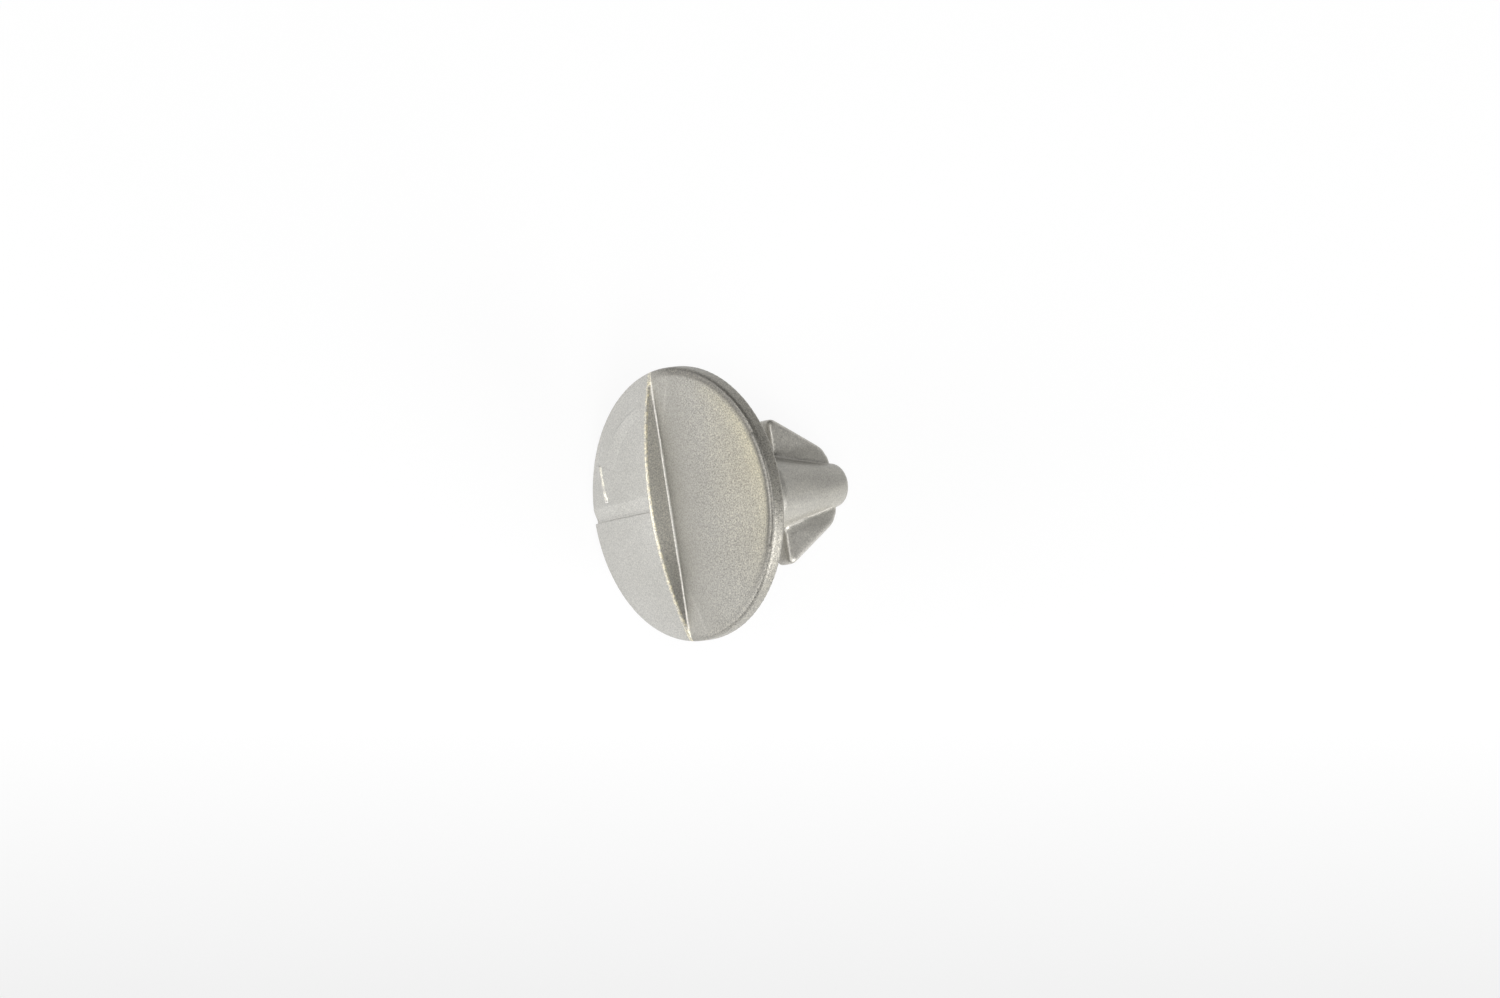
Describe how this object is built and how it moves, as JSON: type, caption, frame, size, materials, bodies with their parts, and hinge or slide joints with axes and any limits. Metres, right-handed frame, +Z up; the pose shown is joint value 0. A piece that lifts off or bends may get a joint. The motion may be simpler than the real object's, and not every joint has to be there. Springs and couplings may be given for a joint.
{
  "type": "quarter-turn splash shield retainer",
  "caption": "One-piece cast quarter-turn retainer: a round head with a raised half dome and thumb wall, and a tapered stem with side wings.",
  "frame": {"origin": "on the surface that the part lies on, under the middle of its bounding box", "axes": "+Z up. The part lies as it comes to rest, on its rim and its tip, dome side down. The stem points along +X and down, and the thumb wall and both wings run along Y"},
  "size_m": [0.026, 0.028, 0.0244],
  "materials": {
    "cast_zinc": "matte as-cast zinc alloy, light warm grey, fine sandy texture"
  },
  "bodies": {
    "root": {"retainer": "cast_zinc"}
  },
  "joints": []
}
